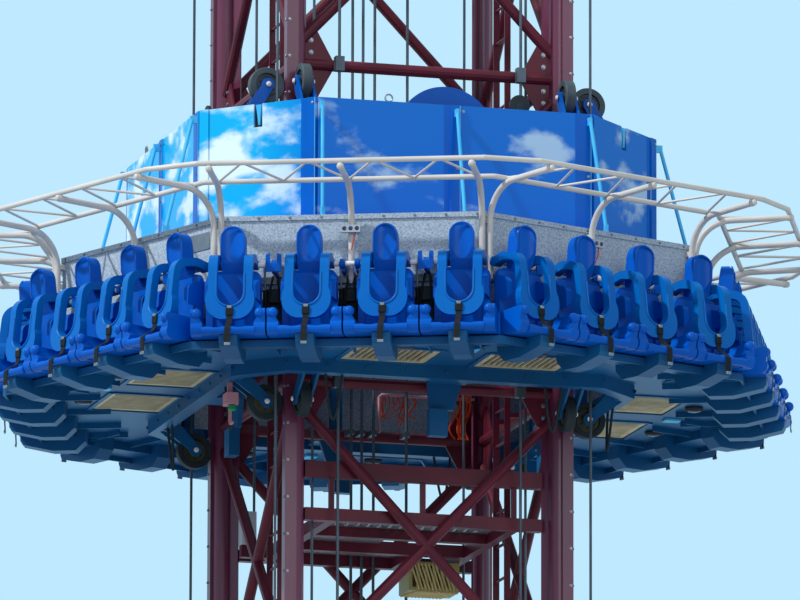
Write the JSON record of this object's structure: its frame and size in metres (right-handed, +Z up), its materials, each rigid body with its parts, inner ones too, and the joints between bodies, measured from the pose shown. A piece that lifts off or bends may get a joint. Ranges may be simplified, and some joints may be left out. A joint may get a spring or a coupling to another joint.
{
  "type": "drop tower ride",
  "caption": "Drop tower ride: square tubular lattice tower with an octagonal ring gondola of outward-facing seats, over-shoulder restraints and a tubular canopy.",
  "frame": {"origin": "ground level on the tower's axis", "axes": "+Z up along the tower, -Y towards the front of the ride, +X to the right seen from the front"},
  "size_m": [7.083, 7.083, 16.7879],
  "materials": {
    "maroon_paint": "gloss paint, weathered",
    "blue_panel": "printed gloss panel",
    "blue_metal": "gloss paint",
    "teal_metal": "satin paint",
    "seat_shell": "moulded, semi gloss",
    "restraint_pad": "moulded soft skin",
    "pale_tube": "gloss paint",
    "speckled_wall": "speckled coating",
    "grating": "galvanised",
    "steel": "galvanised",
    "wheel_tyre": "satin",
    "box_grey": "satin"
  },
  "bodies": {
    "tower": {"base_plates": "maroon_paint", "leg_front_left": "maroon_paint", "leg_front_right": "maroon_paint", "leg_rear_left": "maroon_paint", "leg_rear_right": "maroon_paint", "lattice_front": "maroon_paint", "lattice_right": "maroon_paint", "lattice_rear": "maroon_paint", "lattice_left": "maroon_paint", "head_frame": "maroon_paint", "head_sheaves": "steel", "hoist_ropes": "steel", "service_ladder": "steel", "service_platform": "maroon_paint", "platform_decks": "steel", "tower_cables": "steel", "equipment_boxes": "box_grey"},
    "gondola": {"upper_carriage": "blue_metal", "lower_carriage": "teal_metal", "brake_carriers": "teal_metal", "housing_front": "blue_panel", "housing_right": "blue_panel", "housing_rear": "blue_panel", "housing_left": "blue_panel", "housing_corners": "blue_panel", "pulley_covers": "blue_metal", "back_wall": "speckled_wall", "ring_deck": "blue_metal", "floor_pans": "teal_metal", "seat_pods": "teal_metal", "floor_gratings": "grating", "tie_rods": "blue_metal", "canopy_arms": "pale_tube", "canopy_chords": "pale_tube", "light_boxes": "pale_tube", "seats_front": "seat_shell", "seats_right": "seat_shell", "seats_rear": "seat_shell", "seats_left": "seat_shell", "shaft_bearings": "steel"},
    "restraints_front_left": {"restraints_front_left": "restraint_pad"},
    "restraints_front_right": {"restraints_front_right": "restraint_pad"},
    "restraints_right_front": {"restraints_right_front": "restraint_pad"},
    "restraints_right_rear": {"restraints_right_rear": "restraint_pad"},
    "restraints_rear_right": {"restraints_rear_right": "restraint_pad"},
    "restraints_rear_left": {"restraints_rear_left": "restraint_pad"},
    "restraints_left_rear": {"restraints_left_rear": "restraint_pad"},
    "restraints_left_front": {"restraints_left_front": "restraint_pad"},
    "wheels_upper_front": {"wheels_upper_front": "wheel_tyre"},
    "wheels_upper_right": {"wheels_upper_right": "wheel_tyre"},
    "wheels_upper_rear": {"wheels_upper_rear": "wheel_tyre"},
    "wheels_upper_left": {"wheels_upper_left": "wheel_tyre"},
    "wheels_lower_front": {"wheels_lower_front": "wheel_tyre"},
    "wheels_lower_right": {"wheels_lower_right": "wheel_tyre"},
    "wheels_lower_rear": {"wheels_lower_rear": "wheel_tyre"},
    "wheels_lower_left": {"wheels_lower_left": "wheel_tyre"}
  },
  "joints": [
    {"name": "gondola_lift", "type": "slide", "parent": "tower", "child": "gondola", "axis": [0, 0, 1], "range_m": [-7.2, 4.6]},
    {"name": "restraints_front_left_hinge", "type": "hinge", "parent": "gondola", "child": "restraints_front_left", "pos_m": [-1.02559, -2.476, 8.75], "axis": [-0.9239, 0.3827, 0], "range_deg": [0, 65]},
    {"name": "restraints_front_right_hinge", "type": "hinge", "parent": "gondola", "child": "restraints_front_right", "pos_m": [1.02559, -2.476, 8.75], "axis": [-0.9239, -0.3827, 0], "range_deg": [0, 65]},
    {"name": "restraints_right_front_hinge", "type": "hinge", "parent": "gondola", "child": "restraints_right_front", "pos_m": [2.476, -1.02559, 8.75], "axis": [-0.3827, -0.9239, 0], "range_deg": [0, 65]},
    {"name": "restraints_right_rear_hinge", "type": "hinge", "parent": "gondola", "child": "restraints_right_rear", "pos_m": [2.476, 1.02559, 8.75], "axis": [0.3827, -0.9239, 0], "range_deg": [0, 65]},
    {"name": "restraints_rear_right_hinge", "type": "hinge", "parent": "gondola", "child": "restraints_rear_right", "pos_m": [1.02559, 2.476, 8.75], "axis": [0.9239, -0.3827, 0], "range_deg": [0, 65]},
    {"name": "restraints_rear_left_hinge", "type": "hinge", "parent": "gondola", "child": "restraints_rear_left", "pos_m": [-1.02559, 2.476, 8.75], "axis": [0.9239, 0.3827, 0], "range_deg": [0, 65]},
    {"name": "restraints_left_rear_hinge", "type": "hinge", "parent": "gondola", "child": "restraints_left_rear", "pos_m": [-2.476, 1.02559, 8.75], "axis": [0.3827, 0.9239, 0], "range_deg": [0, 65]},
    {"name": "restraints_left_front_hinge", "type": "hinge", "parent": "gondola", "child": "restraints_left_front", "pos_m": [-2.476, -1.02559, 8.75], "axis": [-0.3827, 0.9239, 0], "range_deg": [0, 65]},
    {"name": "wheels_upper_front_spin", "type": "hinge", "parent": "gondola", "child": "wheels_upper_front", "pos_m": [0, -1.3453, 10.46], "axis": [1, 0, 0], "continuous": true},
    {"name": "wheels_upper_right_spin", "type": "hinge", "parent": "gondola", "child": "wheels_upper_right", "pos_m": [1.3453, 0, 10.46], "axis": [0, 1, 0], "continuous": true},
    {"name": "wheels_upper_rear_spin", "type": "hinge", "parent": "gondola", "child": "wheels_upper_rear", "pos_m": [0, 1.3453, 10.46], "axis": [-1, 0, 0], "continuous": true},
    {"name": "wheels_upper_left_spin", "type": "hinge", "parent": "gondola", "child": "wheels_upper_left", "pos_m": [-1.3453, 0, 10.46], "axis": [0, -1, 0], "continuous": true},
    {"name": "wheels_lower_front_spin", "type": "hinge", "parent": "gondola", "child": "wheels_lower_front", "pos_m": [0, -1.3453, 7.868], "axis": [1, 0, 0], "continuous": true},
    {"name": "wheels_lower_right_spin", "type": "hinge", "parent": "gondola", "child": "wheels_lower_right", "pos_m": [1.3453, 0, 7.868], "axis": [0, 1, 0], "continuous": true},
    {"name": "wheels_lower_rear_spin", "type": "hinge", "parent": "gondola", "child": "wheels_lower_rear", "pos_m": [0, 1.3453, 7.868], "axis": [-1, 0, 0], "continuous": true},
    {"name": "wheels_lower_left_spin", "type": "hinge", "parent": "gondola", "child": "wheels_lower_left", "pos_m": [-1.3453, 0, 7.868], "axis": [0, -1, 0], "continuous": true}
  ],
  "couplings": [
    {"joint": "wheels_upper_front_spin", "follows": "gondola_lift", "rad_per_m": -6.8966},
    {"joint": "wheels_upper_right_spin", "follows": "gondola_lift", "rad_per_m": -6.8966},
    {"joint": "wheels_upper_rear_spin", "follows": "gondola_lift", "rad_per_m": -6.8966},
    {"joint": "wheels_upper_left_spin", "follows": "gondola_lift", "rad_per_m": -6.8966},
    {"joint": "wheels_lower_front_spin", "follows": "gondola_lift", "rad_per_m": -6.8966},
    {"joint": "wheels_lower_right_spin", "follows": "gondola_lift", "rad_per_m": -6.8966},
    {"joint": "wheels_lower_rear_spin", "follows": "gondola_lift", "rad_per_m": -6.8966},
    {"joint": "wheels_lower_left_spin", "follows": "gondola_lift", "rad_per_m": -6.8966}
  ]
}
